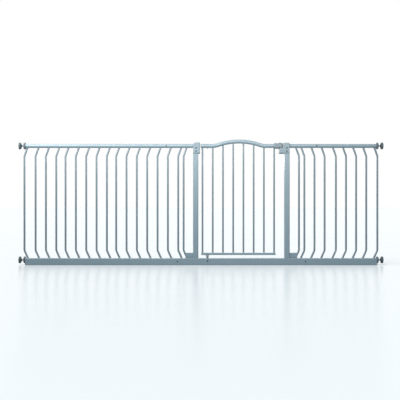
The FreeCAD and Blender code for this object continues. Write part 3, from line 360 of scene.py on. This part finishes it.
zinc = zinc_plate("zinc_plated_steel", from_srgb(158, 166, 172), 0.24)
dark_zinc = zinc_plate("blackened_zinc_screws", from_srgb(50, 57, 62), 0.42)
finish_nodes(zinc, "hinge_arm", "upper_hinge_pin", "lower_pivot", "latch_bolt")
finish_nodes(dark_zinc, "hinge_bracket_screws", "latch_catch_screws", "pivot_socket_screw", "set_screws")

# ---------------------------------------------------------------------------------------------------------
# Bushes, caps and rail plugs
# ---------------------------------------------------------------------------------------------------------
# Small black-grey mouldings pushed into the ends of the tubes: acetal where something turns in them, nylon
# where they only close a tube.

dark_plastic = moulded_plastic("moulded_nylon_dark", from_srgb(74, 86, 94), 0.44, 1900.0, 0.00006)
finish_nodes(
    dark_plastic, "handle_nose", "door_foot_bush", "door_bottom_rail_caps", "pivot_socket",
    "left_upper_rail_plug", "left_lower_rail_plug", "right_upper_rail_plug", "right_lower_rail_plug",
)

# ---------------------------------------------------------------------------------------------------------
# Wall spindles
# ---------------------------------------------------------------------------------------------------------
# M8 rod with a rolled thread and a flat disc upset on its wall end, zinc plated. Rolling leaves a rounded
# crest and root, and the inner end is chamfered.

THREAD_PITCH = 0.00125
THREAD_DEPTH = 0.00072


def revolved(profile, segments=64):
    """Closed shape turned about X from (distance, radius) pairs; distance runs inwards from the wall."""
    mesh = bmesh.new()
    rings = []
    for distance, radius in profile:
        if radius < 1e-6:
            rings.append([mesh.verts.new((-distance, 0, 0))])
            continue
        ring = []
        for step in range(segments):
            angle = 2 * math.pi * step / segments
            ring.append(mesh.verts.new((-distance, radius * math.cos(angle), radius * math.sin(angle))))
        rings.append(ring)
    for first, second in zip(rings, rings[1:]):
        for step in range(max(len(first), len(second))):
            after = (step + 1) % segments
            if len(first) == 1:
                mesh.faces.new((first[0], second[step], second[after]))
            elif len(second) == 1:
                mesh.faces.new((first[step], second[0], first[after]))
            else:
                mesh.faces.new((first[step], second[step], second[after], first[after]))
    return mesh


def corner_place(side, level):
    """Turns a piece made for the right-hand wall, with the wall at x = 0, to its corner of the gate."""
    low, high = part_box(f"{side}_{level}_wall_pad")
    middle = (low + high) / 2
    wall = high.x if side == "right" else low.x
    turn = Matrix.Rotation(0 if side == "right" else math.pi, 4, "Z")
    return Matrix.Translation((wall, 0, middle.z)) @ turn


def threaded_rod(start, end, radius):
    """Rod with a real helical thread from the disc's shoulder to the chamfered inner end."""
    around, per_pitch = 20, 6
    steps = int((end - start) / THREAD_PITCH * per_pitch)
    mesh = bmesh.new()
    rings = []
    for index in range(steps + 1):
        distance = start + index * THREAD_PITCH / per_pitch
        entry = min(1.0, (distance - start) / 0.002, (end - distance) / 0.0015 + 0.15)
        ring = []
        for step in range(around):
            angle = 2 * math.pi * step / around
            turn = (distance / THREAD_PITCH + step / around) % 1.0
            cut = 0.5 - 0.5 * math.cos(2 * math.pi * turn)
            depth = THREAD_DEPTH * min(1.0, max(0.0, cut * 1.25 - 0.12)) * max(0.0, min(1.0, entry * 1.5))
            chamfer = 0.0009 * max(0.0, 1 - (end - distance) / 0.0012)
            reach = radius - max(depth, chamfer)
            ring.append(mesh.verts.new((-distance, reach * math.cos(angle), reach * math.sin(angle))))
        rings.append(ring)
    for first, second in zip(rings, rings[1:]):
        for step in range(around):
            after = (step + 1) % around
            mesh.faces.new((first[step], second[step], second[after], first[after]))
    mesh.faces.new(rings[0])
    mesh.faces.new(rings[-1])
    return mesh


rod_zinc = zinc_plate("zinc_plated_spindles", from_srgb(98, 112, 118), 0.36)
spindle_disc = [
    (0.0031, 0), (0.0031, 0.0112), (0.0034, 0.0117), (0.0058, 0.0117), (0.0061, 0.0112), (0.0061, 0.0041),
    (0.0175, 0.0039), (0.0175, 0),
]
for side in ("left", "right"):
    for level in ("upper", "lower"):
        place = corner_place(side, level)
        rod = threaded_rod(0.0163, 0.098, 0.00397)
        disc = revolved(spindle_disc, 48)
        spare = bpy.data.meshes.new("disc_part")
        disc.to_mesh(spare)
        disc.free()
        rod.from_mesh(spare)
        bpy.data.meshes.remove(spare)
        rod.transform(place)
        piece = as_piece(
            f"{side}_{level}_threaded_spindle", rod, rod_zinc, f"{side}_{level}_screw",
        )
        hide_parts(f"{side}_{level}_spindle")

# ---------------------------------------------------------------------------------------------------------
# Wall pads
# ---------------------------------------------------------------------------------------------------------
# Moulded rubber cups pressed over the spindles' discs. The wall face has raised rings that grip the wall,
# and the rim has a row of fine ribs to hold while the wheel nut is turned.

rubber = moulded_plastic("pad_rubber", from_srgb(58, 72, 78), 0.72, 900.0, 0.00009)
PAD_PROFILE = [
    (0.0006, 0), (0.0006, 0.0040), (0.0001, 0.0044), (0.0001, 0.0058), (0.0012, 0.0064), (0.0012, 0.0088),
    (0.0001, 0.0094), (0.0001, 0.0108), (0.0012, 0.0114), (0.0012, 0.0138), (0.0001, 0.0144), (0.0001, 0.0186),
    (0.0004, 0.0194), (0.0013, 0.0209), (0.0022, 0.0214), (0.0086, 0.0214), (0.0095, 0.0209), (0.0105, 0.0193),
    (0.0117, 0.0170), (0.0129, 0.0145), (0.0142, 0.0117), (0.0152, 0.0098), (0.0157, 0.0090), (0.0160, 0.0083),
    (0.0160, 0.0062), (0.0154, 0.0056), (0.0150, 0.00405), (0.0125, 0.00402),
]


def ribbed(mesh, count, from_radius, depth, lowest, highest):
    """Presses shallow flutes into the part of a turned mesh that lies outside a radius."""
    for vertex in mesh.verts:
        distance, radius = -vertex.co.x, math.hypot(vertex.co.y, vertex.co.z)
        if radius > from_radius and lowest < distance < highest:
            angle = math.atan2(vertex.co.z, vertex.co.y)
            shrink = 1 - depth * (0.5 - 0.5 * math.cos(angle * count)) / radius
            vertex.co.y *= shrink
            vertex.co.z *= shrink


for side in ("left", "right"):
    for level in ("upper", "lower"):
        pad = revolved(PAD_PROFILE, 216)
        ribbed(pad, 36, 0.0200, 0.0007, 0.0018, 0.0100)
        pad.transform(corner_place(side, level))
        piece = as_piece(f"{side}_{level}_rubber_pad", pad, rubber, f"{side}_{level}_screw")
        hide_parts(f"{side}_{level}_wall_pad")

# ---------------------------------------------------------------------------------------------------------
# Wheel nuts
# ---------------------------------------------------------------------------------------------------------
# Scalloped plastic hand wheels moulded round a steel nut. Sixteen finger scallops run round the rim, and the
# inner face is dished, with spokes between the hub and the rim to save plastic.

WHEEL_START = 0.026
WHEEL_PROFILE = [
    (0.0, 0.0042), (0.0, 0.0082), (0.0004, 0.0088), (0.0026, 0.0090), (0.0031, 0.0098), (0.0033, 0.0178),
    (0.0037, 0.0194), (0.0046, 0.0206), (0.0056, 0.02095), (0.0108, 0.02095), (0.0119, 0.0205),
    (0.0127, 0.0196), (0.0129, 0.0186), (0.0127, 0.0176), (0.0118, 0.0169), (0.0086, 0.0165), (0.0081, 0.0158),
    (0.0081, 0.0098), (0.0086, 0.0091), (0.0118, 0.0088), (0.0128, 0.0084), (0.0129, 0.0079), (0.0129, 0.0069),
    (0.0125, 0.0066), (0.0117, 0.0065), (0.0117, 0.0042),
]


def scalloped(mesh, count, depth):
    """Finger scallops cut across a wheel's rim, fading out towards its faces."""
    for vertex in mesh.verts:
        radius = math.hypot(vertex.co.y, vertex.co.z)
        if radius > 0.0175:
            angle = math.atan2(vertex.co.z, vertex.co.y)
            lobe = max(0.0, math.cos(angle * count)) ** 1.6
            shrink = 1 - depth * lobe * min(1.0, (radius - 0.0175) / 0.0028) / radius
            vertex.co.y *= shrink
            vertex.co.z *= shrink


def add_box(mesh, low, high):
    corners = [mesh.verts.new((x, y, z)) for x in (low[0], high[0]) for y in (low[1], high[1])
               for z in (low[2], high[2])]
    for face in ((0, 1, 3, 2), (4, 6, 7, 5), (0, 4, 5, 1), (2, 3, 7, 6), (0, 2, 6, 4), (1, 5, 7, 3)):
        mesh.faces.new([corners[index] for index in face])
    return corners


wheel_plastic = moulded_plastic("wheel_nut_nylon", tint(POWDER_GREY, 0.52), 0.46, 1400.0, 0.00008)
for side in ("left", "right"):
    for level in ("upper", "lower"):
        place = corner_place(side, level) @ Matrix.Translation((-WHEEL_START, 0, 0))
        wheel = revolved(WHEEL_PROFILE, 192)
        scalloped(wheel, 16, 0.0022)
        for spoke in range(6):
            corners = add_box(wheel, (-0.0112, -0.0008, 0.0082), (-0.0078, 0.0008, 0.0172))
            bmesh.ops.rotate(wheel, verts=corners, matrix=Matrix.Rotation(spoke * math.pi / 3, 3, "X"))
        wheel.transform(place)
        grip = as_piece(
            f"{side}_{level}_hand_wheel", wheel, wheel_plastic, f"{side}_{level}_nut",
        )
        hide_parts(f"{side}_{level}_wheel_nut")
        nut = bmesh.new()
        outer, inner = [], []
        for step in range(24):
            angle = 2 * math.pi * step / 24
            flat = 0.0062 / math.cos((angle + math.pi / 6) % (math.pi / 3) - math.pi / 6)
            for ring, reach in ((outer, min(flat, 0.0068)), (inner, 0.0042)):
                ring.append([nut.verts.new((x, reach * math.cos(angle), reach * math.sin(angle)))
                             for x in (-0.0126, -0.0060)])
        for step in range(24):
            after = (step + 1) % 24
            nut.faces.new((outer[step][0], outer[after][0], outer[after][1], outer[step][1]))
            nut.faces.new((inner[step][0], inner[step][1], inner[after][1], inner[after][0]))
            nut.faces.new((outer[step][0], inner[step][0], inner[after][0], outer[after][0]))
            nut.faces.new((outer[step][1], outer[after][1], inner[after][1], inner[step][1]))
        nut.transform(place)
        as_piece(
            f"{side}_{level}_hex_nut", nut, zinc, f"{side}_{level}_nut", smooth=False,
        )

# ---------------------------------------------------------------------------------------------------------
# Floor, light and camera
# ---------------------------------------------------------------------------------------------------------
# A plain white studio floor with a slight polish and a white room all round. One soft sun high on the left,
# stronger on the floor than on the gate, a long soft light in front of the rails and a weaker one behind.

floor_paint = Finish("studio_floor", Base_Color=(0.95, 0.95, 0.95, 1.0), Specular_IOR_Level=0.3)
spread = floor_paint.node("ShaderNodeTexCoord", output="Object")
mottle = floor_paint.node("ShaderNodeTexNoise", values={"Vector": spread, "Scale": 3.0, "Detail": 2.0})
floor_paint.feed(Roughness=0.22 + 0.05 * mottle)
ground = bmesh.new()
bmesh.ops.create_grid(ground, x_segments=8, y_segments=8, size=30.0)
floor_mesh = bpy.data.meshes.new("studio_floor")
ground.to_mesh(floor_mesh)
ground.free()
floor_mesh.materials.append(floor_paint.material)
floor = bpy.data.objects.new("studio_floor", floor_mesh)
floor.location = (0, 0, cad_box[0].z - 0.0005)
bpy.context.scene.collection.objects.link(floor)
floor.visible_diffuse = False


def soft_light(name, kind, power, where, target, **settings):
    lamp = bpy.data.lights.new(name, kind)
    lamp.energy = power
    for key, value in settings.items():
        setattr(lamp, key, value)
    light = bpy.data.objects.new(name, lamp)
    light.location = where
    light.rotation_euler = (Vector(target) - Vector(where)).to_track_quat("-Z", "Y").to_euler()
    light.visible_camera = False
    bpy.context.scene.collection.objects.link(light)
    return light


SUN_PLACE = (-2.4, -1.5, 5.0)
SUN_SPREAD = 0.7
floor_sun = soft_light("floor_sun", "SUN", 2.1, SUN_PLACE, (0, 0, 0), angle=SUN_SPREAD)
gate_sun = soft_light("gate_sun", "SUN", 1.3, SUN_PLACE, (0, 0, 0), angle=SUN_SPREAD)
strip = soft_light(
    "front_strip", "AREA", 32.0, (-0.3, -0.66, 1.04), (-0.1, 0, 0.62),
    shape="RECTANGLE", size=3.0, size_y=0.3, color=(1.0, 0.93, 0.88),
)
back_fill = soft_light(
    "back_fill", "AREA", 22.0, (0.3, 1.3, 0.9), (0.1, 0, 0.4), shape="RECTANGLE", size=3.0, size_y=0.5,
    color=(1.0, 0.95, 0.92),
)
floor_only = bpy.data.collections.new("lit_by_floor_sun")
floor_only.objects.link(floor)
floor_sun.light_linking.receiver_collection = floor_only
gate_only = bpy.data.collections.new("lit_by_gate_lights")
for thing in bpy.context.scene.objects:
    if thing.type == "MESH" and thing != floor:
        gate_only.objects.link(thing)
for light in (gate_sun, strip, back_fill):
    light.light_linking.receiver_collection = gate_only

room = bpy.data.worlds.new("white_room")
room.use_nodes = True
walls = room.node_tree
background = walls.nodes["Background"]
rays = walls.nodes.new("ShaderNodeLightPath")
tone = walls.nodes.new("ShaderNodeMix")
tone.data_type = "RGBA"
tone.inputs[6].default_value = (1.0, 1.0, 1.0, 1.0)
tone.inputs[7].default_value = (0.34, 0.42, 0.46, 1.0)
walls.links.new(rays.outputs["Is Diffuse Ray"], tone.inputs[0])
walls.links.new(tone.outputs[2], background.inputs["Color"])
bpy.context.scene.world = room
bpy.context.scene.view_settings.view_transform = "Standard"

VIEW_WIDTH = 2.480
STAND_OFF = 4.0
lens = bpy.data.cameras.new("camera")
lens.sensor_width = 36.0
lens.lens = 36.0 * STAND_OFF / VIEW_WIDTH
lens.clip_end = 60.0
camera = bpy.data.objects.new("camera", lens)
camera.location = (-0.006, -STAND_OFF, 0.402)
camera.rotation_euler = (math.radians(90), 0, 0)
bpy.context.scene.collection.objects.link(camera)
bpy.context.scene.camera = camera
